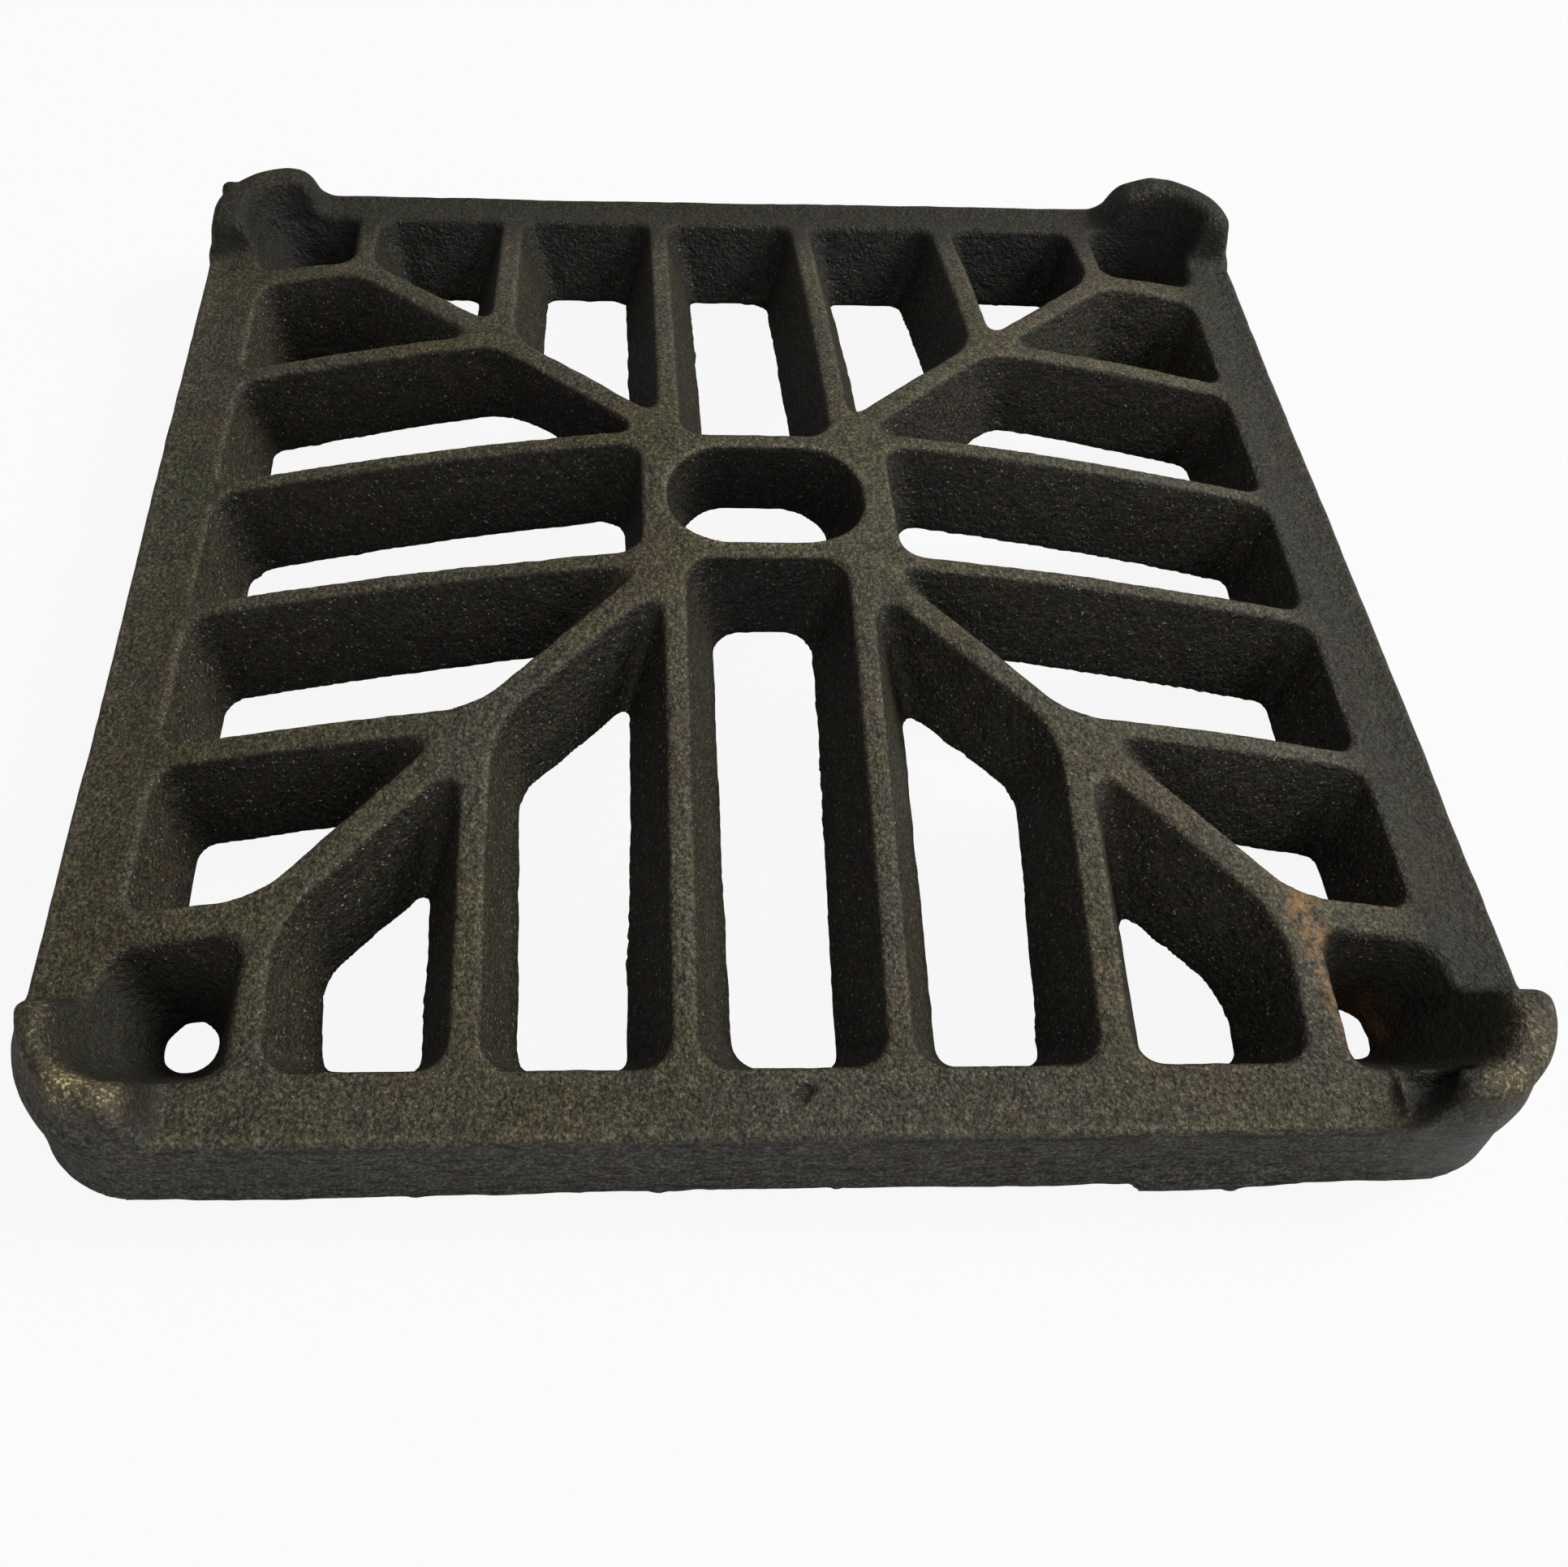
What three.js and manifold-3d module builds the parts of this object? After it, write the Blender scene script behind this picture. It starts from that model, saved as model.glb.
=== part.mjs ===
// Dished gully grate, one grey-iron sand casting, lying on its walking face:
// +Z up, rim of the walking face on z = 0, underside and the four corner legs upward,
// origin at the centre of the square. Front is -Y, right is +X.
import * as THREE from 'three';
import { mergeVertices } from 'three/addons/utils/BufferGeometryUtils.js';
import Module from 'manifold-3d';

const wasm = await Module();
wasm.setup();

// ---- driving dimensions, millimetres ----
const SIZE = 225;               // overall square at the walking face
const SIZE_AT_LEG_TOP = 223;    // drafted outer wall, at the leg tops
const OUTER_RADIUS = 15.5;      // plan radius of the outer corners
const RIM_DEPTH = 17.3;         // walking face to underside of the rim
const LEG_TOP = 26.5;           // walking face to the ends of the legs

// dish height at m from the centre = height at the centre * (1 - (m / DISH_HALF) ^ DISH_EXPONENT)
const DISH_HALF = 108;          // half-width of the dished area
const DISH_EXPONENT = 1.52;
const DISH_WALK = 21.1;         // rise of the walking face at the centre
const DISH_UNDER = 18.2;        // rise of the underside at the centre
const DISH_STATIONS = [0, 8, 18, 30, 45, 62, 78, 94, DISH_HALF];  // distances from the centre

const LEG_END = 90;             // legs run from here to the corner, at the rim
const LEG_END_TOP = 94;         // same, at the leg top (sloping ends)
const LEG_INNER_TOP = 106.8;    // inner face of a leg, at its top
const LEG_FOOT = 102.6;         // inner face where the leg rises out of the rim
const LEG_FOOT_RADIUS = 8.5;    // plan radius there

// tools are made larger than the part they shape
const LEG_TOOL_BOTTOM = 6;      // inside the rim
const LEG_INNER_TOOL_TOP = 34;
const LEG_INNER_TOOL_RADII = [LEG_FOOT_RADIUS - 2, 13];  // plan radii at its bottom and top
const TALL_TOOL_TOP = 40;
const CORE_PAST_UNDER = 4;      // run of a core above the underside
const CORE_PAST_WALK = 3;       // and below the walking face

// Openings at each face: the bars are narrow at the underside and broad at the walking face.
// Pairs are [front and back sides, left and right sides], fours are [front, right, back, left].
// near and far are the sides of a cell along the bars, measured from the middle of the grate side;
// nearEnd and farEnd are how far from the centre those sides stop, at the diagonal.
const UNDER = {
  rim: [102.2, 100.7, 102.0, 100.7],      // inner edge of the rim
  slotHalf: [14.2, 14.1],                 // half-width of a middle slot
  slotEnd: [15.3, 23.4, 15.0, 20.9],      // hub end of the middle slots
  second: { near: [17.4, 16.5], far: [45.9, 45.6], nearEnd: [19.5, 18.8], farEnd: [48.5, 48.7] },
  third: { near: [49.6, 48.7], far: [77.0, 76.3], nearEnd: [53.3, 52.0], farEnd: [80.0, 80.2] },
  hubHalf: [17.7, 12.2],                  // half sizes of the oblong hole, along x and y
  rounding: 3.2,                          // corner radius of the openings
};
const WALK = {
  rim: [95.3, 94.9, 91.4, 94.7],
  slotHalf: [8.4, 8.4],
  slotEnd: [20.0, 27.0, 19.6, 23.9],
  second: { near: [23.4, 22.8], far: [41.0, 41.5], nearEnd: [35.2, 35.4], farEnd: [50.6, 52.0] },
  third: { near: [55.5, 54.3], far: [71.8, 72.0], nearEnd: [68.7, 68.6], farEnd: [82.3, 82.1] },
  hubHalf: [13.6, 10.1],
  rounding: 2.6,
};
const CELL_ROUNDING = 0.8;      // second and third cells, share of the corner radius

const CORNER_CELL = [80.5, 79.6];  // corner cell at the underside, sides along the bars
const CORNER_CELL_RADII = [3, 1, LEG_FOOT_RADIUS, 1, 3, 4];
const CORNER_HOLE = 90.2;       // x and y of the round hole at the walking face
const CORNER_HOLE_RADIUS = 4.2;
const MIN_ANGLE_STEP = 0.02;    // radians between points of that hole

const HUB_X = 1.2;              // the oblong hole sits slightly off the centre
const HUB_Y = -0.3;
const HUB_SPREAD = 2.2;         // how fast its end arcs move apart next to the y axis

const OPENING_ARC_SEGMENTS = 3;
const OUTER_ARC_SEGMENTS = 6;
const HUB_POINTS = 28;

const CORNER_SIGNS = [[-1, -1], [1, -1], [1, 1], [-1, 1]];

const dish = (m) => (m < DISH_HALF ? 1 - (m / DISH_HALF) ** DISH_EXPONENT : 0);
const walkZ = (m) => DISH_WALK * dish(m);
const underZ = (m) => RIM_DEPTH + DISH_UNDER * dish(m);

// ---- solids ----

// closed three.js geometry -> manifold solid, turned right side out if need be
function solid(geometry) {
  const plain = geometry.index ? geometry.toNonIndexed() : geometry;
  const bare = new THREE.BufferGeometry();
  bare.setAttribute('position', plain.getAttribute('position'));
  const merged = mergeVertices(bare, 1e-4);
  const index = merged.index.array;
  const build = (flipped) => {
    const triangles = [];
    for (let i = 0; i < index.length; i += 3) {
      const [a, b, c] = [index[i], index[i + 1], index[i + 2]];
      if (a === b || b === c || a === c) continue;
      triangles.push(...(flipped ? [a, c, b] : [a, b, c]));
    }
    return new wasm.Manifold(new wasm.Mesh({
      numProp: 3,
      vertProperties: new Float32Array(merged.getAttribute('position').array),
      triVerts: new Uint32Array(triangles),
    }));
  };
  const built = build(false);
  return built.volume() < 0 ? build(true) : built;
}

// extrude an outline, then move every vertex: place(index of outline point, on the far face?)
function extrudeTo(outline, place) {
  const shape = new THREE.Shape(outline);
  const geometry = new THREE.ExtrudeGeometry(shape, { depth: 1, bevelEnabled: false, steps: 1 });
  const position = geometry.getAttribute('position');
  for (let v = 0; v < position.count; v++) {
    let best = 0;
    let nearest = Infinity;
    outline.forEach((point, i) => {
      const distance = (point.x - position.getX(v)) ** 2 + (point.y - position.getY(v)) ** 2;
      if (distance < nearest) {
        nearest = distance;
        best = i;
      }
    });
    const target = place(best, position.getZ(v) > 0.5);
    position.setXYZ(v, target.x, target.y, target.z);
  }
  return solid(geometry);
}

// tapered prism between two outlines with the same point count
function prism(low, lowZ, high, highZ) {
  return extrudeTo(low, (i, far) => {
    const point = far ? high[i] : low[i];
    return new THREE.Vector3(point.x, point.y, far ? highZ : lowZ);
  });
}

// a core: the walls run straight from one outline at the underside to the
// matching outline at the walking face, and on past both faces
function core(under, walk) {
  const lift = (point, heightAt) => {
    const fromCentre = Math.max(Math.abs(point.x), Math.abs(point.y));
    return new THREE.Vector3(point.x, point.y, heightAt(fromCentre));
  };
  return extrudeTo(under, (i, far) => {
    const top = lift(under[i], underZ);
    const bottom = lift(walk[i], walkZ);
    const height = top.z - bottom.z;
    return bottom.lerp(top, far ? 1 + CORE_PAST_UNDER / height : -CORE_PAST_WALK / height);
  });
}

// ---- outlines ----

// polygon with rounded corners, the same point count for any radii;
// radii is one number or a list with one for each corner
function roundedPolygon(points, radii) {
  const count = points.length;
  return points.flatMap((point, i) => {
    const corner = new THREE.Vector2(...point);
    const back = new THREE.Vector2(...points[(i + count - 1) % count]).sub(corner).normalize();
    const ahead = new THREE.Vector2(...points[(i + 1) % count]).sub(corner).normalize();
    const halfAngle = Math.acos(THREE.MathUtils.clamp(back.dot(ahead), -1, 1)) / 2;
    const radius = Array.isArray(radii) ? radii[i] : radii;
    const setback = radius / Math.tan(halfAngle);
    const start = corner.clone().addScaledVector(back, setback);
    const end = corner.clone().addScaledVector(ahead, setback);
    return new THREE.QuadraticBezierCurve(start, corner, end).getPoints(OPENING_ARC_SEGMENTS);
  });
}

// centred square with circular corners
function roundedSquare(half, radius) {
  return CORNER_SIGNS.flatMap(([signX, signY], i) => {
    const start = Math.PI + i * Math.PI / 2;
    const x = signX * (half - radius);
    const y = signY * (half - radius);
    const arc = new THREE.EllipseCurve(x, y, radius, radius, start, start + Math.PI / 2, false, 0);
    return arc.getPoints(OUTER_ARC_SEGMENTS);
  });
}

// quarter turns anticlockwise: front to right to back to left
function turn(points, quarters) {
  return points.map(([x, y]) => {
    for (let i = 0; i < quarters; i++) [x, y] = [-y, x];
    return [x, y];
  });
}

// ---- dished plate: a square spun profile, walking face below, underside above ----
function dishedPlate() {
  const profile = [
    ...DISH_STATIONS.map((m) => [m, walkZ(m)]),
    [SIZE, 0],                  // well past the outer wall, which trims it
    [SIZE, RIM_DEPTH],
    ...[...DISH_STATIONS].reverse().map((m) => [m, underZ(m)]),
  ];
  const points = profile.map(([m, z]) => new THREE.Vector2(m * Math.SQRT2, z));
  const geometry = new THREE.LatheGeometry(points, 4);
  geometry.rotateY(Math.PI / 4);
  geometry.rotateX(Math.PI / 2);

  const draft = (SIZE - SIZE_AT_LEG_TOP) / 2 * TALL_TOOL_TOP / LEG_TOP;
  const outerWall = prism(
    roundedSquare(SIZE / 2, OUTER_RADIUS), 0,
    roundedSquare(SIZE / 2 - draft, OUTER_RADIUS - 1), TALL_TOOL_TOP);
  return solid(geometry).intersect(outerWall);
}

// ---- corner legs: the outer wall carried up round each corner, thick at the rim, thin on top ----
function cornerLegs() {
  const legHeight = LEG_TOP - RIM_DEPTH;
  const innerSlope = (LEG_INNER_TOP - LEG_FOOT) / legHeight;
  const endSlope = (LEG_END_TOP - LEG_END) / legHeight;
  const innerAt = (z) => LEG_FOOT + (z - RIM_DEPTH) * innerSlope;
  const endAt = (z) => LEG_END + (z - RIM_DEPTH) * endSlope;

  const envelope = prism(
    roundedSquare(SIZE / 2, OUTER_RADIUS), 0,
    roundedSquare(SIZE_AT_LEG_TOP / 2, OUTER_RADIUS - 0.6), LEG_TOP);
  const [bottomRadius, topRadius] = LEG_INNER_TOOL_RADII;
  const inside = prism(
    roundedSquare(innerAt(LEG_TOOL_BOTTOM), bottomRadius), LEG_TOOL_BOTTOM,
    roundedSquare(innerAt(LEG_INNER_TOOL_TOP), topRadius), LEG_INNER_TOOL_TOP);
  const wall = envelope.subtract(inside);

  return CORNER_SIGNS.map(([signX, signY]) => {
    const zoneOutline = (z) => {
      const end = endAt(z);
      const points = [[end, end], [SIZE, end], [SIZE, SIZE], [end, SIZE]]
        .map(([x, y]) => new THREE.Vector2(x * signX, y * signY));
      return signX * signY > 0 ? points : points.reverse();
    };
    const zone = prism(
      zoneOutline(LEG_TOOL_BOTTOM), LEG_TOOL_BOTTOM,
      zoneOutline(TALL_TOOL_TOP), TALL_TOOL_TOP);
    return wall.intersect(zone);
  });
}

// ---- openings; side is 0 front, 1 right, 2 back, 3 left ----

function middleSlot(side) {
  const outline = (face) => {
    const half = face.slotHalf[side % 2];
    const rim = face.rim[side];
    const end = face.slotEnd[side];
    const points = [[-half, -rim], [half, -rim], [half, -end], [-half, -end]];
    return roundedPolygon(turn(points, side), face.rounding);
  };
  return core(outline(UNDER), outline(WALK));
}

// second or third cell of a side, cut off by the diagonal; mirror is 1 or -1
function sideCell(name, side, mirror) {
  const outline = (face) => {
    const [near, far, nearEnd, farEnd] = ['near', 'far', 'nearEnd', 'farEnd']
      .map((key) => face[name][key][side % 2]);
    const rim = face.rim[side];
    const points = [[near, -rim], [far, -rim], [far, -farEnd], [near, -nearEnd]]
      .map(([x, y]) => [mirror * x, y]);
    if (mirror < 0) points.reverse();
    return roundedPolygon(turn(points, side), face.rounding * CELL_ROUNDING);
  };
  return core(outline(UNDER), outline(WALK));
}

// corner cell between a side and the next, running out into a pocket behind the leg
function cornerCell(side) {
  const barHere = CORNER_CELL[side % 2];
  const barNext = CORNER_CELL[1 - side % 2];
  const under = roundedPolygon(turn([
    [barHere, -UNDER.rim[side]], [LEG_END, -LEG_FOOT], [LEG_FOOT, -LEG_FOOT],
    [LEG_FOOT, -LEG_END], [UNDER.rim[(side + 1) % 4], -barNext], [barHere, -barNext],
  ], side), CORNER_CELL_RADII);

  // walking-face outline: a circle whose points face the underside outline
  const [[holeX, holeY]] = turn([[CORNER_HOLE, -CORNER_HOLE]], side);
  const angles = under.map((point) => Math.atan2(point.y - holeY, point.x - holeX));
  for (let i = 1; i < angles.length; i++) {
    while (angles[i] <= angles[i - 1] - Math.PI) angles[i] += 2 * Math.PI;
    angles[i] = Math.max(angles[i], angles[i - 1] + MIN_ANGLE_STEP);
  }
  const walk = angles.map((angle) => new THREE.Vector2(
    holeX + Math.cos(angle) * CORNER_HOLE_RADIUS,
    holeY + Math.sin(angle) * CORNER_HOLE_RADIUS));
  return core(under, walk);
}

// oblong hole through the centre
function hubHole() {
  const outline = ({ hubHalf: [halfX, halfY] }) => Array.from({ length: HUB_POINTS }, (_, i) => {
    const angle = (i / HUB_POINTS) * Math.PI * 2 + Math.PI / HUB_POINTS;
    const cos = Math.cos(angle);
    const shift = Math.sign(cos) * (halfX - halfY) * Math.min(1, Math.abs(cos) * HUB_SPREAD);
    return new THREE.Vector2(HUB_X + halfY * cos + shift, HUB_Y + halfY * Math.sin(angle));
  });
  return core(outline(UNDER), outline(WALK));
}

function openings() {
  const sides = [0, 1, 2, 3];
  const sideOpenings = sides.flatMap((side) => [
    middleSlot(side),
    ...[1, -1].flatMap((mirror) => ['second', 'third'].map((name) => sideCell(name, side, mirror))),
  ]);
  return [...sideOpenings, ...sides.map(cornerCell), hubHole()];
}

// ---- casting ----

// manifold solid -> three.js geometry
function toGeometry(manifold) {
  const mesh = manifold.getMesh();
  const positions = new Float32Array(mesh.numVert * 3);
  for (let i = 0; i < mesh.numVert; i++) {
    for (let k = 0; k < 3; k++) positions[3 * i + k] = mesh.vertProperties[mesh.numProp * i + k];
  }
  const geometry = new THREE.BufferGeometry();
  geometry.setAttribute('position', new THREE.BufferAttribute(positions, 3));
  geometry.setIndex(new THREE.BufferAttribute(new Uint32Array(mesh.triVerts), 1));
  geometry.computeVertexNormals();
  return geometry;
}

let body = dishedPlate();
for (const leg of cornerLegs()) body = body.add(leg);
for (const opening of openings()) body = body.subtract(opening);

const iron = new THREE.MeshStandardMaterial({
  color: 0x66614f,
  roughness: 0.72,
  metalness: 0.35,
  flatShading: true,
});
const casting = new THREE.Mesh(toGeometry(body), iron);
casting.name = 'grate_casting';

const grate = new THREE.Group();
grate.name = 'floor_drain_grate';
grate.add(casting);

export default grate;
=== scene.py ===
# Dished square gully grate in sand-cast iron, lying walking face down on a pale floor.
# Front is -Y and right is +X; the plate rises towards its centre, and the underside and
# the four corner legs point up. The casting is modelled as a distance field in
# millimetres (negative inside the iron) and meshed by surface nets.
import math
import bpy
import numpy as np
from mathutils import Matrix, Vector


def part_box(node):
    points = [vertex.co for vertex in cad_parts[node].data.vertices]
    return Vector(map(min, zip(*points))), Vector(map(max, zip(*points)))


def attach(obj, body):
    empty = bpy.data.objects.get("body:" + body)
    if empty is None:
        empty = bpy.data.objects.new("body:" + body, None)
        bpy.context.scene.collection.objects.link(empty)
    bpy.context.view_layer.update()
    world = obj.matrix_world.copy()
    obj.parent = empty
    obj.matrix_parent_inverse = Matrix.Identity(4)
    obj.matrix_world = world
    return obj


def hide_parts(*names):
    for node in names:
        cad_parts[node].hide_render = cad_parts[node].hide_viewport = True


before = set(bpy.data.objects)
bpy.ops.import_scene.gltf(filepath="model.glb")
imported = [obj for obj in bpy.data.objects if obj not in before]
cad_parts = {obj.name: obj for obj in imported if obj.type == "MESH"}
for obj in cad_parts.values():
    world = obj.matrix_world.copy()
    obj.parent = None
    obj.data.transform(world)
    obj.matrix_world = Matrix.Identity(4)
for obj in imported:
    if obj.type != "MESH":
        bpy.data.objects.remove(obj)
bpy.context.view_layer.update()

# ------------------------------------------------------------------ sizes, mm
lo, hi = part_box("grate_casting")
HALF = (hi[0] - lo[0]) * 500.0           # half of the square at the walking face
UNIT = HALF / 112.5                      # one pattern millimetre: 1.0 for a 225 mm square
RIM = 17.3                               # underside of the rim, pattern mm
RIM_Z = RIM * UNIT
LEG_Z = 26.5 * UNIT                      # nominal leg ends
LEG_HALF = 111.5 * UNIT                  # outer wall at the leg ends
LEG_SLOPE = (94.0 - 90.0) * UNIT / (LEG_Z - RIM_Z)   # lean of the legs' inner ends
OUTER_RADIUS = 15.5                      # plan corners, pattern mm
DISH_RADIUS, DISH_POWER = 108.0 * UNIT, 1.52
WALK_RISE, UNDER_RISE = 21.1 * UNIT, 18.2 * UNIT     # dish depth of the two faces
PAD = 3.0                                # empty margin round the grid
VOXEL = 0.62

# ------------------------------------------------------------------ grid
FLOAT = np.float32
xs = np.arange(-HALF - PAD, HALF + PAD + VOXEL, VOXEL, dtype=FLOAT)
ys = xs.copy()
zs = np.arange(-PAD + 0.13, (RIM_Z + UNDER_RISE) + 2.5 + PAD, VOXEL, dtype=FLOAT)
X, Y, Z = xs[:, None, None], ys[None, :, None], zs[None, None, :]
PX, PY, PZ = X / UNIT, Y / UNIT, Z / UNIT    # the same in pattern mm


# ------------------------------------------------------------------ field tools
def clamp(v):
    return np.clip(v, 0, 1)


def smooth(v):
    v = clamp(v)
    return v * v * (3 - 2 * v)


def meet(a, b, radius):
    """intersection of two fields with a rounded edge"""
    u = np.maximum(a + radius, 0)
    v = np.maximum(b + radius, 0)
    return np.minimum(np.maximum(a, b), -radius) + np.sqrt(u * u + v * v)


def join(a, b, radius):
    """union of two fields with a fillet"""
    return -meet(-a, -b, radius)


def rounded_square(x, y, half, radius):
    qx = np.abs(x) - (half - radius)
    qy = np.abs(y) - (half - radius)
    return (np.sqrt(np.maximum(qx, 0) ** 2 + np.maximum(qy, 0) ** 2)
            + np.minimum(np.maximum(qx, qy), 0) - radius)


def polygon(x, y, points, radii):
    """field of a convex polygon whose corners may vary over the grid;
    radii[i] rounds edge i where it meets the edges before it"""
    field = None
    for i, (ax, ay) in enumerate(points):
        bx, by = points[(i + 1) % len(points)]
        ex, ey = bx - ax, by - ay
        edge = ((x - ax) * ey - (y - ay) * ex) / np.sqrt(ex * ex + ey * ey)
        field = edge if field is None else meet(field, edge, radii[i])
    return field


def dish(x, y):
    """distance from the centre, measured in rounded squares"""
    power = 10.0
    ax, ay = np.abs(x) + 1e-3, np.abs(y) + 1e-3
    big = np.maximum(ax, ay)
    return big * ((ax / big) ** power + (ay / big) ** power) ** (1 / power)


def lift(distance, rise):
    """height of the dish, easing to zero at its edge"""
    ease = 0.7
    d = rise * (1 - (np.sqrt(distance * distance + 9.0) / DISH_RADIUS) ** DISH_POWER)
    return (0.5 * (d + np.sqrt(d * d + ease * ease))
            - 0.5 * (np.sqrt(rise * rise + ease * ease) - rise))


# plan maps with a trailing z axis: dish distance, walking face, underside
DISH = dish(xs[:, None], ys[None, :]).astype(FLOAT)[:, :, None]
WALK_Z = lift(DISH, WALK_RISE).astype(FLOAT)
UNDER_Z = (RIM_Z + lift(DISH, UNDER_RISE) + 0.2 * UNIT).astype(FLOAT)


# ------------------------------------------------------------------ plate
def outer_wall():
    """outer wall with draft, a little out of square and with unlike corners"""
    half = HALF - (HALF - LEG_HALF) * Z / LEG_Z
    upper = smooth((PZ - 17.0) / 8)
    # how far each wall stands out from the true square
    right = ((0.05 + 1.75 * (112 - PY) / 224) * (1 - upper)
             * (1 - 0.45 * smooth((-PY - 78) / 30))
             - 1.1 * smooth((-PY - 94) / 12) * (1 - upper)
             + (0.1 + 1.3 * smooth((-PY - 60) / 30)) * upper) * UNIT
    left = ((0.35 * (112 + PY) / 224 - 1.0 * smooth((-PY - 92) / 14)) * (1 - upper)
            - 0.9 * upper * (Y < 0)) * UNIT
    back = (0.35 + 1.1 * np.clip(X / (112 * UNIT), -0.2, 1)) * UNIT
    front = (0.15 - 0.35 * X / (112 * UNIT)) * UNIT
    reach = 60 * UNIT                    # the shift fades out from here to the centre
    x = X - clamp(X / reach) * right + clamp(-X / reach) * left
    y = Y - clamp(Y / reach) * back + clamp(-Y / reach) * front
    front_extra = np.where(X < 0, 1.1 + 4.6 * upper, 0.2 + 2.5 * upper)
    radius = OUTER_RADIUS * UNIT + np.where(Y < 0, front_extra, 0.0) * UNIT
    wall = rounded_square(x, y, half, radius) - 0.3 * UNIT
    # shallow moulding flash low on the front, towards the right
    flash = (1.15 * UNIT * smooth((PX - 51.8) / 1.6) * (1 - smooth((PX - 62) / 26))
             * (1 - smooth((PZ - 0.8) / 5.5)))
    return wall - flash * (Y < -100 * UNIT)


outer = outer_wall()
body = meet(outer, Z - UNDER_Z, 0.9 * UNIT)
body = meet(body, WALK_Z - Z, 0.4 * UNIT).astype(FLOAT)


def window(x0, x1, y0, y1):
    """grid slices that cover a rectangle in plan"""
    i0, i1 = np.searchsorted(xs, x0), np.searchsorted(xs, x1)
    j0, j1 = np.searchsorted(ys, y0), np.searchsorted(ys, y1)
    return slice(max(i0, 0), i1 + 1), slice(max(j0, 0), j1 + 1)


def corner_window(*sides):
    """grid slices that cover one corner, beyond 70 mm from both centre lines"""
    return tuple(slice(np.searchsorted(axis, 70 * UNIT), None) if side > 0
                 else slice(0, np.searchsorted(axis, -70 * UNIT))
                 for axis, side in zip((xs, ys), sides))


def add(area, lump, fillet):
    body[area] = join(body[area], lump, fillet).astype(FLOAT)


def dig(area, hole, rounding):
    body[area] = meet(body[area], -hole, rounding).astype(FLOAT)


# ------------------------------------------------------------------ corner legs
# side x, side y; leg: end height, inner end along x, along y; hole: x, y, radius
CORNERS = (
    (-1, -1, 26.6, 90.2, 90.0, 90.5, 91.0, 4.4),
    (1, -1, 26.4, 90.6, 90.0, 90.3, 90.5, 4.4),
    (1, 1, 26.8, 86.2, 92.0, 90.2, 90.2, 4.2),
    (-1, 1, 25.3, 90.0, 88.4, 90.2, 90.2, 4.2),
)


def add_leg(side_x, side_y, top, end_x, end_y):
    area = corner_window(side_x, side_y)
    x, y, z = np.abs(PX[area[0]]), np.abs(PY[:, area[1]]), PZ
    front_right = side_x > 0 and side_y < 0      # this leg has a sharper end
    # the crest falls away towards its ends and towards the outer wall
    crest = z - top + 0.10 * np.maximum(0, 97.5 - np.minimum(x, y)) ** 1.5
    leg = meet(outer[area] / UNIT, crest, 2.3)
    leg = meet(leg, end_x + (z - RIM) * LEG_SLOPE - x, 0.8 if front_right else 1.9)
    leg = meet(leg, end_y + (z - RIM) * LEG_SLOPE - y, 1.9)
    leg = meet(leg, 8.0 - z, 0.5)
    plate = body[area] / UNIT
    thinning = 1.5 * (smooth((98 - x) / 4) if front_right else 0)
    fillet = (2.2 - thinning) * smooth((z - 8.5) / 8) + 0.02
    body[area] = (np.where(z > 7.0, join(plate, leg, fillet), plate) * UNIT).astype(FLOAT)


for corner in CORNERS:
    add_leg(*corner[:5])
del outer

# ------------------------------------------------------------------ openings
# Every opening is drawn for the front side, in pattern mm, and turned to its own side.
# sides in the order front, right, back, left:
# rim end of the openings at the underside and at the walking face;
# middle slot: half width at the underside; at the walking face left and right edge at the
# rim, then left and right edge at the inner end; inner end at underside and walking face;
# least corner radius at the underside
SIDES = (
    (102.5, 95.3, 14.2, (-7.9, 8.2, -8.6, 8.6), 15.3, 20.0, 5.0),
    (100.7, 94.9, 14.2, (-8.8, 7.6, -8.8, 7.6), 23.4, 27.0, 4.1),
    (102.0, 91.4, 14.2, (-8.8, 8.2, -8.8, 8.2), 15.0, 19.6, 4.1),
    (100.7, 94.7, 13.9, (-7.9, 8.8, -7.9, 8.8), 20.9, 23.9, 4.1),
)
SLOT_RADII = (2.0, 2.0, 4.8, 4.8)


def cell(side, hand, under, walk, walk_rim=None, radii=(2.0, 2.4, 2.4, 3.4)):
    """a four-cornered opening with a diagonal inner end;
    under: near edge, far edge, diagonal at near edge, diagonal at far edge
    walk: near edge at rim and inside, far edge at rim and inside, diagonal near and far
    radii: rim near, rim far, diagonal far, diagonal near"""
    rim, usual_walk_rim = SIDES[side][:2]
    walk_rim = walk_rim or usual_walk_rim
    near, far, diagonal_near, diagonal_far = under
    near_rim, near_in, far_rim, far_in, walk_near, walk_far = walk
    return (side, hand,
            [(near, -rim), (far, -rim), (far, -diagonal_far), (near, -diagonal_near)],
            [(near_rim, -walk_rim), (far_rim, -walk_rim), (far_in, -walk_far),
             (near_in, -walk_near)],
            radii)


# the usual underside of the second and third opening from the middle
FRONT_2, FRONT_3 = (17.4, 45.8, 20.4, 48.3), (49.7, 77.0, 53.0, 80.2)
BACK_2 = (17.4, 45.8, 19.8, 47.6)
SIDE_2, SIDE_3 = (16.5, 45.5, 19.4, 48.5), (48.8, 76.3, 52.2, 80.0)

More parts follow.
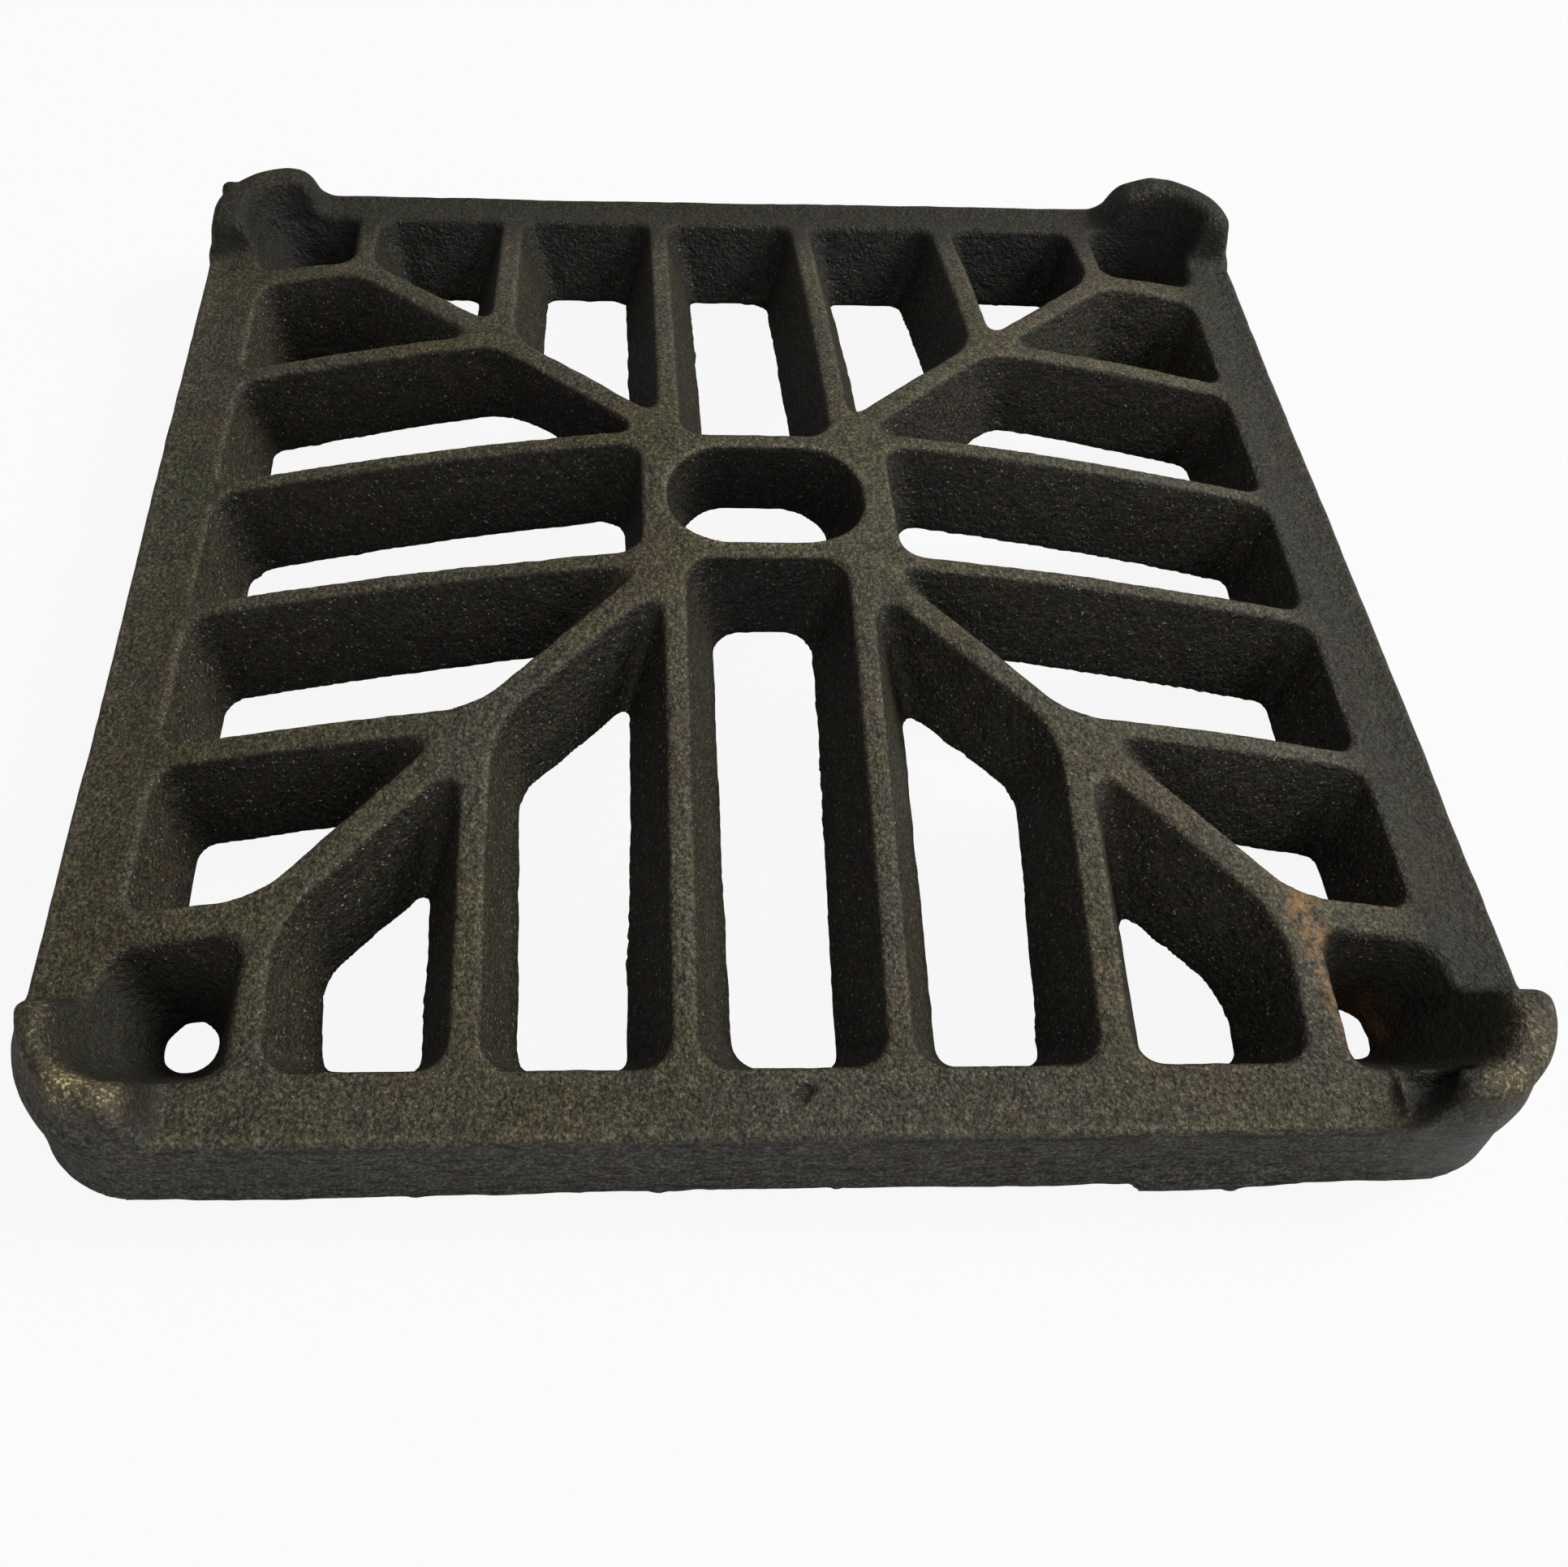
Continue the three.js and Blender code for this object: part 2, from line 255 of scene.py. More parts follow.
CELLS = (
    cell(0, -1, FRONT_2, (24.0, 23.4, 40.6, 41.4, 34.9, 51.0)),
    cell(0, -1, FRONT_3, (55.4, 55.4, 70.0, 71.0, 67.4, 81.0)),
    cell(0, 1, FRONT_2, (24.0, 23.5, 39.9, 41.2, 35.4, 51.2)),
    cell(0, 1, FRONT_3, (56.4, 55.6, 71.4, 71.6, 70.7, 84.7), radii=(2.0, 2.4, 5.0, 3.4)),
    cell(1, -1, (16.5, 46.0, 19.4, 48.5), (23.2, 23.2, 41.2, 41.2, 35.6, 51.9),
         radii=(2.0, 2.4, 2.4, 3.5)),
    cell(1, -1, SIDE_3, (57.0, 57.0, 72.0, 72.0, 70.0, 82.2), radii=(2.0, 4.0, 1.5, 3.4)),
    cell(1, 1, SIDE_2, (22.9, 22.9, 40.6, 39.9, 35.4, 51.0)),
    cell(1, 1, SIDE_3, (54.4, 54.4, 69.2, 69.2, 68.7, 80.6)),
    cell(2, -1, BACK_2, (23.8, 23.6, 39.3, 39.8, 35.4, 51.5)),
    cell(2, -1, (49.7, 77.0, 50.8, 78.2), (54.6, 54.6, 72.8, 72.8, 67.9, 81.4), walk_rim=93.1),
    cell(2, 1, BACK_2, (22.8, 22.8, 39.9, 40.4, 35.4, 51.5)),
    cell(2, 1, (49.7, 77.0, 52.4, 79.4), (55.4, 55.4, 71.8, 71.8, 68.7, 82.2), walk_rim=90.8),
    # five-cornered: this opening runs further in than its twin
    (3, -1,
     [(16.5, -100.7), (45.5, -100.7), (45.5, -48.5), (36.0, -38.3), (16.5, -19.4)],
     [(22.9, -94.7), (41.4, -94.7), (41.4, -48.2), (36.2, -38.6), (22.9, -31.0)],
     (1.5, 1.8, 1.5, 3.0, 1.5)),
    cell(3, -1, SIDE_3, (54.4, 54.4, 69.2, 69.2, 68.7, 80.6)),
    cell(3, 1, (16.5, 44.8, 19.4, 48.5), (23.7, 23.7, 41.2, 41.2, 35.8, 51.9),
         radii=(2.0, 2.4, 2.4, 3.5)),
    cell(3, 1, SIDE_3, (54.4, 54.4, 72.0, 72.0, 68.7, 82.2), radii=(2.0, 2.4, 2.4, 3.0)),
)


def turn(points, quarters):
    for _ in range(quarters):
        points = [(-y, x) for x, y in points]
    return points


def mirror(points):
    return [(-x, y) for x, y in points][::-1]


def depth_in_plate(area):
    """0 at the walking face, 1 at the underside, running a little past both"""
    walk_z, under_z = WALK_Z[area], UNDER_Z[area]
    return np.clip((Z - walk_z) / (under_z - walk_z), -0.35, 1.35)


def carve(under, walk, radii, least_radius):
    """cut an opening that tapers between its two outlines"""
    px, py = zip(*[(x * UNIT, y * UNIT) for x, y in under + walk])
    area = window(min(px) - 5, max(px) + 5, min(py) - 5, max(py) + 5)
    t = depth_in_plate(area)
    points = [((wx + (ux - wx) * t) * UNIT, (wy + (uy - wy) * t) * UNIT)
              for (ux, uy), (wx, wy) in zip(under, walk)]
    t = clamp(t)
    radii = [(r + (max(least_radius, r) - r) * t) * UNIT for r in radii]
    hole = polygon(X[area[0]], Y[:, area[1]], points, radii)
    rim = smooth((DISH[area] / UNIT - 97) / 6)     # edges are softer at the rim
    dig(area, hole + (0.20 + (0.03 + 0.16 * rim) * t) * UNIT,
        (0.8 + (0.5 * rim - 0.2) * t) * UNIT)


for side, (rim, walk_rim, half, slot_walk, end, walk_end, least) in enumerate(SIDES):
    left, right, left_in, right_in = slot_walk
    slot_under = [(-half, -rim), (half, -rim), (half, -end), (-half, -end)]
    slot_face = [(left, -walk_rim), (right, -walk_rim),
                 (right_in, -walk_end), (left_in, -walk_end)]
    carve(turn(slot_under, side), turn(slot_face, side), SLOT_RADII, least)
    for cell_side, hand, under, walk, radii in CELLS:
        if cell_side != side:
            continue
        if hand < 0:
            under, walk, radii = mirror(under), mirror(walk), radii[::-1]
        carve(turn(under, side), turn(walk, side), radii, least)


def dig_lifting_hole():
    """oblong lifting hole, a little off the centre"""
    area = window(-28, 28, -20, 24)
    t = depth_in_plate(area)
    half_x, half_y = (13.6 + 4.1 * t) * UNIT, (10.1 + 1.8 * t) * UNIT
    t = clamp(t)
    radius = half_y * 0.92
    qx = np.abs(X[area[0]] - (0.9 - 1.0 * (1 - t)) * UNIT) - (half_x - radius)
    qy = np.abs(Y[:, area[1]] + 0.2 * UNIT) - (half_y - radius)
    hole = (np.sqrt(np.maximum(qx, 0) ** 2 + np.maximum(qy, 0) ** 2)
            + np.minimum(np.maximum(qx, qy), 0) - radius)
    dig(area, hole + (0.20 + 0.04 * t) * UNIT, (0.8 - 0.2 * t) * UNIT)


def dig_corner_cell(side_x, side_y, hole_x, hole_y, radius):
    """scoop from the bars and the leg's crest down to a round hole"""
    area = corner_window(side_x, side_y)
    x, y, z = np.abs(PX[area[0]]), np.abs(PY[:, area[1]]), PZ
    low = 5.0
    s = clamp((z - low) / (17.4 - low))            # hole to the foot of the leg
    c = np.clip((z - 17.4) / 9.1, 0, 1.3)          # foot to the crest
    u = np.clip((z - low) / (24.0 - low), 0, 1.2)  # hole to the bars
    far_x = (hole_x + radius) + (102.5 - hole_x - radius) * s ** 0.95 + 4.4 * c
    far_y = (hole_y + radius) + (102.9 - hole_y - radius) * s ** 0.95 + 4.1 * c
    far_x = far_x - 2.4 * s * (1 - smooth((y - 79.5) / 10.5)) * (1 - c)
    far_y = far_y - 0.9 * s * (1 - smooth((x - 79.5) / 10.5)) * (1 - c)
    bar_x = 81.4 if (side_x, side_y) == (1, -1) else 79.7
    near_x = (hole_x - radius) + (bar_x - hole_x + radius) * u
    near_y = (hole_y - radius) + (80.4 - hole_y + radius) * u
    near = meet(near_x - x, near_y - y, 4.2)
    far = meet(x - far_x, y - far_y, radius + 4.0 * s + 2.6 * c)
    scoop = meet(near, far, radius * (1 - 0.25 * s))
    dig(area, (scoop + 0.1 + 0.25 * s) * UNIT, (0.4 + 1.0 * s) * UNIT)


dig_lifting_hole()
for corner in CORNERS:
    dig_corner_cell(*corner[:2], *corner[5:])


# ------------------------------------------------------------------ casting flaws
def around(cx, cy, rx, ry):
    return window((cx - rx - 3) * UNIT, (cx + rx + 3) * UNIT,
                  (cy - ry - 3) * UNIT, (cy + ry + 3) * UNIT)


def ball(cx, cy, cz, radius, apply, rounding):
    area = around(cx, cy, radius, radius)
    field = np.sqrt((X[area[0]] - cx * UNIT) ** 2 + (Y[:, area[1]] - cy * UNIT) ** 2
                    + (Z - cz * UNIT) ** 2) - radius * UNIT
    apply(area, field, rounding * UNIT)


def egg(cx, cy, cz, rx, ry, rz, apply, rounding):
    area = around(cx, cy, rx, ry)
    field = (np.sqrt(((PX[area[0]] - cx) / rx) ** 2 + ((PY[:, area[1]] - cy) / ry) ** 2
                     + ((PZ - cz) / rz) ** 2) - 1) * min(rx, rz) * UNIT
    field = np.where(Z > 8 * UNIT, field, 5 * UNIT)    # keeps clear of the walking face
    apply(area, field, rounding * UNIT)


# a small pit in the front rim
ball(0.8, -106.2, 18.1, 1.15, dig, 0.3)
ball(1.6, -105.2, 18.2, 0.95, dig, 0.3)
ball(-0.3, -106.9, 18.3, 1.0, dig, 0.3)
# a thin ridge and a hollow at the end of the front right leg
egg(89.0, -106.8, 17.0, 0.9, 5.2, 2.2, add, 0.5)
egg(94.2, -106.3, 20.9, 4.7, 3.2, 4.0, dig, 0.3)
# a pimple on the back left leg
ball(-109.3, 103.5, 24.0, 1.8, add, 0.8)

# ------------------------------------------------------------------ surface nets
CUBE = [(a, b, c) for a in (0, 1) for b in (0, 1) for c in (0, 1)]


def net_vertices(field, cells):
    """mean of the surface crossings on the edges of each grid cell, in cells"""
    position = np.zeros((len(cells), 3), dtype=np.float64)
    count = np.zeros(len(cells), dtype=np.float64)
    value = {k: field[tuple((cells + k).T)].astype(np.float64) for k in CUBE}
    for start in CUBE:
        for axis in range(3):
            if start[axis] == 1:
                continue
            end = tuple(start[i] + (i == axis) for i in range(3))
            a, b = value[start], value[end]
            cross = (a < 0) != (b < 0)
            along = np.where(cross, a / np.where(cross, a - b, 1), 0)
            for i in range(3):
                position[:, i] += np.where(cross, start[i] + (along if i == axis else 0), 0)
            count += cross
    return cells + position / count[:, None]


def surface_nets(field, origin):
    inside = field < 0
    nx, ny, nz = field.shape
    filled = np.zeros((nx - 1, ny - 1, nz - 1), dtype=np.uint8)
    for a, b, c in CUBE:
        filled += inside[a:nx - 1 + a, b:ny - 1 + b, c:nz - 1 + c]
    active = (filled > 0) & (filled < 8)
    cells = np.argwhere(active)
    index = np.full(active.shape, -1, dtype=np.int32)
    index[active] = np.arange(len(cells), dtype=np.int32)

    quads = []
    for axis, (u, v) in enumerate(((1, 2), (2, 0), (0, 1))):
        start, end = [slice(1, -1)] * 3, [slice(1, -1)] * 3
        start[axis], end[axis] = slice(0, -1), slice(1, None)
        a, b = inside[tuple(start)], inside[tuple(end)]
        crossing = np.argwhere(a != b)
        leaving = a[tuple(crossing.T)]
        crossing[:, [u, v]] += 1
        quad = []
        for du, dv in ((-1, -1), (0, -1), (0, 0), (-1, 0)):
            corner_cell = crossing.copy()
            corner_cell[:, u] += du
            corner_cell[:, v] += dv
            quad.append(index[tuple(corner_cell.T)])
        quad = np.stack(quad, 1)
        quad[~leaving] = quad[~leaving][:, ::-1]
        quads.append(quad)
    return net_vertices(field, cells) * VOXEL + origin, np.concatenate(quads)


ORIGIN = np.array([xs[0], ys[0], zs[0]], dtype=np.float64)
verts, quads = surface_nets(body, ORIGIN)


# ------------------------------------------------------------------ per-vertex measures
def trilinear(fraction, corner_value):
    weight = (1 - fraction, fraction)
    total = 0
    for a, b, c in CUBE:
        total = total + (weight[a][:, 0] * weight[b][:, 1] * weight[c][:, 2]
                         * corner_value(a, b, c))
    return total


rng = np.random.default_rng(21)


def lattice(wave):
    """smooth value noise at the vertices, a cell per `wave` mm, about -1..1;
    every call draws a new table, so the order of calls matters"""
    n = 64
    table = rng.uniform(-1, 1, (n, n, n)).astype(FLOAT)
    q = verts / wave
    i = np.floor(q).astype(np.int64)
    f = (q - i).astype(FLOAT)
    f = f * f * f * (f * (f * 6 - 15) + 10)
    return trilinear(f, lambda a, b, c: table[(i[:, 0] + a) % n, (i[:, 1] + b) % n,
                                              (i[:, 2] + c) % n])


def sample(points):
    """value of the body field at points in mm"""
    q = (points - ORIGIN) / VOXEL
    i = np.clip(np.floor(q).astype(np.int64), 0, np.array(body.shape) - 2)
    return trilinear(q - i, lambda a, b, c: body[i[:, 0] + a, i[:, 1] + b, i[:, 2] + c])


def field_normals(points):
    slope = np.zeros_like(points)
    for axis in range(3):
        offset = np.zeros(3)
        offset[axis] = VOXEL
        slope[:, axis] = sample(points + offset) - sample(points - offset)
    return slope / np.maximum(np.linalg.norm(slope, axis=1), 1e-9)[:, None]


normals = field_normals(verts)
nx, ny, nz = normals.T
REACH = 1.6                                            # probe distance, mm
convex = sample(verts - normals * REACH) + REACH       # > 0 on convex edges
hollow = REACH - sample(verts + normals * REACH)       # > 0 in fillets

vx, vy, vz = (verts / UNIT).T                          # pattern mm
dish_v = dish(verts[:, 0], verts[:, 1])
walk_v, under_v = lift(dish_v, WALK_RISE), RIM_Z + lift(dish_v, UNDER_RISE)
level = (verts[:, 2] - walk_v) / (under_v - walk_v)    # 0 walking face, 1 underside


def spot(cx, cy, rx, ry):
    """soft elliptical spot in plan, pattern mm"""
    return np.exp(-((vx - cx) / rx) ** 2 - ((vy - cy) / ry) ** 2)


# sand-cast skin: long waves, then coarse grain
relief = 0.13 * lattice(19.0) + 0.08 * lattice(6.5) + 0.06 * lattice(2.6)
# small nicks along the walking-face edges
low_edge = clamp(1 - np.abs(level) / 0.22) * clamp(convex * 2.0)
chips = clamp(lattice(2.4) - 0.35) * clamp(lattice(13.0) * 2.0 + 0.4)
relief += low_edge * (0.06 * lattice(1.9) + 0.16 * lattice(4.3) + 0.7 * chips)
# rust-eaten hole in the front right corner
RUST_RADIUS = 18 ** 0.5
rust_hole = spot(93.5, -89, RUST_RADIUS, RUST_RADIUS) * clamp(1 - level / 0.5)
relief += rust_hole * (0.75 * lattice(1.9) + 0.1)
# the walking face is calmer
relief = relief * (1 - 0.5 * clamp((-nz - 0.6) * 3))
cast_verts = verts + normals * relief[:, None]
cast_verts[:, 2] = np.maximum(cast_verts[:, 2], 0.0)


# ------------------------------------------------------------------ mesh
def build_mesh(points, faces):
    count = len(faces)
    built = bpy.data.meshes.new("cast_skin")
    built.vertices.add(len(points))
    built.vertices.foreach_set("co", (points / 1000.0).astype(FLOAT).ravel())
    built.loops.add(count * 4)
    built.loops.foreach_set("vertex_index", faces.astype(np.int32).ravel())
    built.polygons.add(count)
    built.polygons.foreach_set("loop_start", np.arange(0, count * 4, 4, dtype=np.int32))
    built.polygons.foreach_set("loop_total", np.full(count, 4, dtype=np.int32))
    built.update(calc_edges=True)
    built.validate()
    built.polygons.foreach_set("use_smooth", np.ones(len(built.polygons), dtype=bool))
    return built


mesh = build_mesh(cast_verts, quads)


def store(name, values):
    layer = mesh.attributes.new(name, "FLOAT", "POINT")
    layer.data.foreach_set("value", np.asarray(values, dtype=FLOAT))


# ------------------------------------------------------------------ masks for the material
small, large = np.minimum(np.abs(vx), np.abs(vy)), np.maximum(np.abs(vx), np.abs(vy))
rim_distance = rounded_square(verts[:, 0], verts[:, 1], HALF, 17.0 * UNIT) / UNIT
leg_hollow = spot(94.0, -106.0, 4.0, 4.0) * clamp((vz - 14) / 2)

store("edge", clamp(convex / 0.9))
store("fillet_shade", clamp(hollow / 0.9))
store("under", clamp((nz - np.where(large > 108, 0.35, 0.60))
                     / np.where(large > 108, 0.4, 0.25)))
leg_top = clamp((vz - 21.0) / 3.0) * clamp((dish_v / UNIT - 102.5) / 2)
store("legtop", leg_top * (1 - clamp(1.6 * leg_hollow)))
# painted light: paler outer wall at the front right corner
store("pale", spot(104, -109, 13, 7) * clamp((vz - 1) / 4) * clamp((20.5 - vz) / 3)
      * (nz < 0.7) * clamp((rim_distance + 3.0) / 1.0))

# rubbed spots on the leg ends with a painted highlight: centre x, y, radius x, y, strength
WORN_HIGHLIGHT_SPOTS = (
    (-102.0, -107.0, 6.0, 2.4, 1.0), (-95.5, -108.4, 3.5, 2.0, 0.8),
    (-109.0, -103.0, 2.2, 4.5, 0.35), (101.0, -108.3, 4.5, 2.2, 0.75),
    (107.6, -102.5, 2.2, 5.0, 0.35), (-104.5, 108.0, 7.0, 2.2, 0.25),
)
worn_highlight = 0
for *place, strength in WORN_HIGHLIGHT_SPOTS:
    worn_highlight = np.maximum(worn_highlight, strength * spot(*place))
store("worn_highlight", worn_highlight * clamp((vz - 19.5) / 3.5) * (0.65 + 0.35 * lattice(3.1)))
store("bars", smooth((97 - dish_v / UNIT) / 5) * clamp((nz - 0.6) / 0.25))

# darker towards the back, on the centre walls and just in front of the centre; painted shade
# on the right rim
tone_and_rim_shade = np.maximum(0.95 * smooth((vy - 78) / 22), 0.9 * spot(0, -4, 34, 34) * (nz < 0.55))
tone_and_rim_shade = np.maximum(tone_and_rim_shade, 1.25 * spot(0, -20, 11, 5.0) * (nz < 0.6))
tone_and_rim_shade = np.maximum(tone_and_rim_shade, 1.0 * smooth((vx - 95) / 8) * (np.abs(vy) < 92) * (nz > 0.5))
store("tone_and_rim_shade", tone_and_rim_shade)
store("outwall", clamp((rim_distance + 3.6) / 1.4))
# golden stripe running back along a bar near the front right corner
stripe_x = 77.6 - 0.214 * (66 + vy)
store("gold", np.exp(-((vx - stripe_x) / 2.8) ** 2) * smooth((vy + 103) / 9)
      * (1 - smooth((vy + 70) / 10)) * clamp((nz - 0.3) / 0.4))
# painted shade inside the corner cells and on the inner faces of the legs
inward = -(nx * np.sign(vx) + ny * np.sign(vy))
pocket_shade = (small > 78.5) * (large < 102.5) * clamp((17.0 - vz) / 3)
pocket_shade = np.maximum(pocket_shade, (small > 84) * clamp((inward - 0.25) / 0.35)
                    * clamp((25.3 - vz) / 2.5) * (vz > 8))
store("pocket_shade", clamp(pocket_shade))
# painted shade in the leg's hollow, and darker along a crease round the outer wall
crease = clamp(1 - np.abs(vz - 15.9) / 0.75) * clamp((large - 110.5) / 0.8)
store("hollow_shade_and_crease", clamp(np.maximum(1.7 * leg_hollow,
                               0.85 * crease * clamp(lattice(9.0) * 1.4 + 0.7))))
store("level", np.clip(level, 0, 1.5))
store("rusty", clamp(rust_hole * 1.6 * (lattice(2.0) * 0.6 + 0.7)))
skin = bpy.data.objects.new("grate_casting_skin", mesh)
bpy.context.scene.collection.objects.link(skin)


# ------------------------------------------------------------------ node tools
def fresh_tree(owner):
    owner.use_nodes = True
    owner.node_tree.nodes.clear()
    return owner.node_tree


def add_node(tree, kind, inputs=None, **settings):
    """new node; each input takes a value, an RGB colour or a socket to link"""
    made = tree.nodes.new(kind)
    for name, value in settings.items():
        setattr(made, name, value)
    for name, value in (inputs or {}).items():
        socket = made.inputs[name]
        if isinstance(value, bpy.types.NodeSocket):
            tree.links.new(value, socket)
        elif socket.type == "RGBA":
            socket.default_value = (*value, 1)
        else:
            socket.default_value = value
    return made


# ------------------------------------------------------------------ cast iron
# colours, linear
OLIVE = (0.054, 0.048, 0.024)
GREY = (0.050, 0.046, 0.031)
BROWN = (0.064, 0.047, 0.028)
GREEN = (0.047, 0.047, 0.027)
DARK_COAT_AND_SHADE = (0.0178, 0.0168, 0.0112)
UMBER = (0.030, 0.026, 0.014)
SLATE = (0.068, 0.066, 0.058)
STREAK = (0.016, 0.016, 0.014)
RUST = (0.075, 0.034, 0.015)
WEAR_AND_SHEEN = (0.270, 0.205, 0.110)
PAINTED_GLINT = (0.400, 0.385, 0.325)
LEG_DARK, LEG_GLINT = (0.030, 0.025, 0.015), (0.62, 0.50, 0.28)
WORN_HIGHLIGHT, HIGHLIGHT_SPECK = (0.300, 0.220, 0.095), (0.95, 0.80, 0.50)
GOLD = (0.270, 0.150, 0.062)
SHADE_BLACK = (0.006, 0.006, 0.004)
FRESH_RUST = (0.120, 0.048, 0.020)
LIT_CORNER_GREY = (0.150, 0.145, 0.135)

# noises: size in mm, detail, roughness, distortion, offset
NOISES = {
    "grit": (0.62, 3, 0.70, 0.0, (0, 0, 0)),
    "blotch": (2.6, 4, 0.7, 0.4, (5, 2, 9)),
    "gloss": (1.3, 4, 0.7, 0.0, (1, 9, 3)),
    "grain": (0.95, 3, 0.6, 0.0, (8, 1, 5)),
    "fine grain": (0.42, 3, 0.6, 0.0, (1, 2, 5)),
    "lumps": (3.6, 3, 0.5, 0.0, (2, 2, 7)),
}
# patches: a noise as above, then the values at which it turns from 0 to 1
PATCHES = {
    "grey": (30, 4, 0.6, 0.0, (0, 0, 0), 0.40, 0.60),
    "brown": (14, 4, 0.6, 0.4, (3, 1, 2), 0.50, 0.68),
    "green": (19, 3, 0.5, 0.2, (9, 4, 6), 0.52, 0.66),
    "umber": (8.0, 5, 0.65, 0.8, (7, 5, 1), 0.56, 0.72),
    "streak": (3.6, 4, 0.5, 0.0, (0, 0, 0), 0.54, 0.61),
    "edge": (4.5, 4, 0.65, 0.3, (2, 8, 4), 0.40, 0.66),
    "edge speck": (0.7, 2, 0.5, 0.0, (6, 4, 8), 0.56, 0.64),
    "leg": (6.0, 4, 0.65, 0.3, (5, 5, 9), 0.36, 0.64),
    "leg glint": (0.8, 3, 0.6, 0.2, (1, 5, 2), 0.54, 0.66),
    "highlight speck": (0.7, 2, 0.5, 0.0, (7, 7, 1), 0.55, 0.62),
    "gold": (1.6, 3, 0.6, 0.2, (3, 5, 7), 0.40, 0.60),
    "rust": (3.2, 4, 0.7, 0.6, (2, 6, 3), 0.50, 0.66),
    "speck": (0.52, 2, 0.5, 0.0, (4, 4, 4), 0.665, 0.71),
    "pits": (1.9, 3, 0.6, 0.5, (6, 2, 2), 0.28, 0.42),
}

material = bpy.data.materials.new("weathered_cast_iron")
iron = fresh_tree(material)
coord = add_node(iron, "ShaderNodeTexCoord").outputs["Object"]


def attr(name):
    return add_node(iron, "ShaderNodeAttribute", attribute_name=name).outputs["Fac"]


def noise(size, detail, roughness, distortion, offset, scale=(1, 1, 1)):
    place = add_node(iron, "ShaderNodeMapping",
                     {"Vector": coord, "Location": offset, "Scale": scale})
    return add_node(iron, "ShaderNodeTexNoise", {
        "Vector": place.outputs["Vector"], "Scale": 1000.0 / size, "Detail": detail,
        "Roughness": roughness, "Distortion": distortion}).outputs["Fac"]


def ramp(source, *stops):
    made = add_node(iron, "ShaderNodeValToRGB", {"Fac": source})
    elements = made.color_ramp.elements
    while len(elements) < len(stops):
        elements.new(0.5)
    for element, (position, colour) in zip(elements, stops):
        element.position = position
        element.color = (*colour, 1)
    return made.outputs["Color"]


def even(value):
    """neutral grey"""
    return (value, value, value)


def step(source, start, end):
    return ramp(source, (start, even(0)), (end, even(1)))


def patch(name, **options):
    *shape, start, end = PATCHES[name]
    return step(noise(*shape, **options), start, end)


def mix(factor, a, b, blend="MIX"):
    return add_node(iron, "ShaderNodeMix", {"Factor": factor, 6: a, 7: b},
                    data_type="RGBA", blend_type=blend).outputs[2]


def calc(operation, a, b):
    return add_node(iron, "ShaderNodeMath", {0: a, 1: b}, operation=operation).outputs[0]


def mul(first, *rest):
    for value in rest:
        first = calc("MULTIPLY", first, value)
    return first


def invert(value):
    return calc("SUBTRACT", 1.0, value)


def coat(base, colour, *masks, amount):
    return mix(mul(*masks, amount), base, colour)


under, edge, fillet_shade = attr("under"), attr("edge"), attr("fillet_shade")
outside = attr("outwall")
wall = invert(under)

# tops: olive, grey, brown and greenish clouds
base = mix(patch("grey"), OLIVE, GREY)
base = coat(base, BROWN, patch("brown"), amount=0.8)
base = coat(base, GREEN, patch("green"), amount=0.7)

# walls of the openings: nearly black, partly their dark coat and partly painted shade; browner
# where they face right, painted light from the key lamp on the right
facing = add_node(iron, "ShaderNodeNewGeometry").outputs["True Normal"]
facing_x = add_node(iron, "ShaderNodeSeparateXYZ", {0: facing}).outputs[0]
inner = coat(DARK_COAT_AND_SHADE, UMBER, step(facing_x, 0.62, 0.90), amount=0.85)
inner = coat(inner, UMBER, patch("umber"), amount=0.30)
base = mix(mul(wall, invert(outside)), base, inner)

# outer wall: a cooler grey with dark level streaks
base = coat(base, SLATE, outside, wall, amount=0.92)
base = coat(base, STREAK, outside, wall, patch("streak", scale=(1, 1, 4.2)), amount=0.72)

# sand grain mottling
grit = ramp(noise(*NOISES["grit"]),
            (0.35, even(0.28)), (0.50, even(0.88)), (0.65, (2.30, 2.22, 2.00)))
blotch = ramp(noise(*NOISES["blotch"]),
              (0.30, even(0.66)), (0.50, even(1.0)), (0.70, (1.36, 1.34, 1.28)))
base = mix(1.0, base, blotch, "MULTIPLY")
base = mix(1.0, base, grit, "MULTIPLY")

# edges of the bars rubbed a little paler with a painted highlight and painted glint specks,
# leg tops darker with painted golden glints, leg ends worn bright with a painted highlight,
# golden stripe
base = coat(base, WEAR_AND_SHEEN, edge, under, patch("edge"), amount=0.24)
base = coat(base, PAINTED_GLINT, edge, under, patch("edge speck"), amount=0.50)
base = coat(base, LEG_DARK, attr("legtop"), amount=0.45)
# painted golden glints on the leg tops
base = coat(base, LEG_GLINT, attr("legtop"), patch("leg"), patch("leg glint"), amount=0.26)
# rubbed spots on the leg ends with a painted highlight and painted sparkle specks
base = coat(base, WORN_HIGHLIGHT, attr("worn_highlight"), amount=0.42)
base = coat(base, HIGHLIGHT_SPECK, attr("worn_highlight"), patch("highlight speck"), amount=0.75)
base = coat(base, GOLD, attr("gold"), patch("gold"), amount=0.85)

# painted shade in the fillets, rust at the ragged lower edges
base = coat(base, DARK_COAT_AND_SHADE, fillet_shade, amount=0.5)
low = step(attr("level"), 0.30, 0.0)
base = coat(base, RUST, low, wall, patch("rust"), amount=0.22)

# local tones, painted shade and painted light
base = mix(attr("bars"), base, (1.16, 1.16, 1.18), "MULTIPLY")
# painted shade in the corner cells and on the inner leg faces
base = coat(base, DARK_COAT_AND_SHADE, attr("pocket_shade"), amount=0.70)
